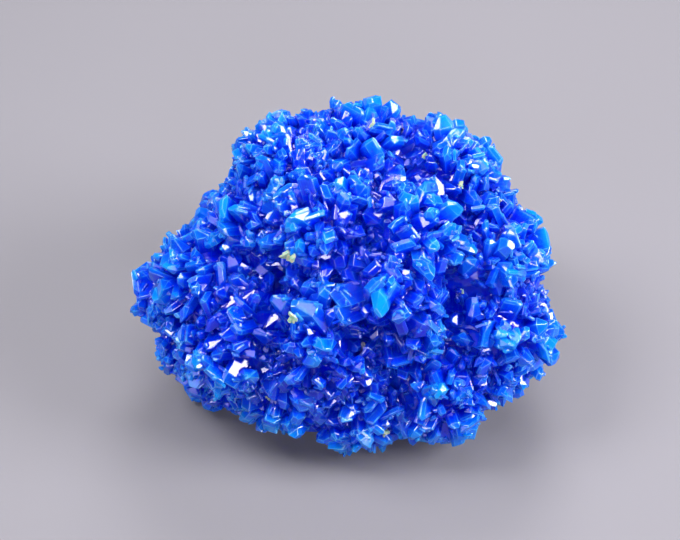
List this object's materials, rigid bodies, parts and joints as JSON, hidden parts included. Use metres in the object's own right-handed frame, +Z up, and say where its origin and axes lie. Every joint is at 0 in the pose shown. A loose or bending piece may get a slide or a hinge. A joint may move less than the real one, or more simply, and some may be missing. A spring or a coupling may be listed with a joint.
{
  "type": "chalcanthite crystal cluster",
  "caption": "Rounded hand-sized mass of intergrown deep blue chisel-ended crystals, lying on a flat underside; a mineral specimen for display.",
  "frame": {"origin": "in the middle of the flat underside that the cluster rests on", "axes": "+Z up, away from the underside; +X along the longest extent, to the right in the picture; +Y away from the viewer"},
  "size_m": [0.1004, 0.0814, 0.0665],
  "materials": {
    "chalcanthite": "gloss"
  },
  "bodies": {
    "root": {"crystal_cluster": "chalcanthite"}
  },
  "joints": []
}
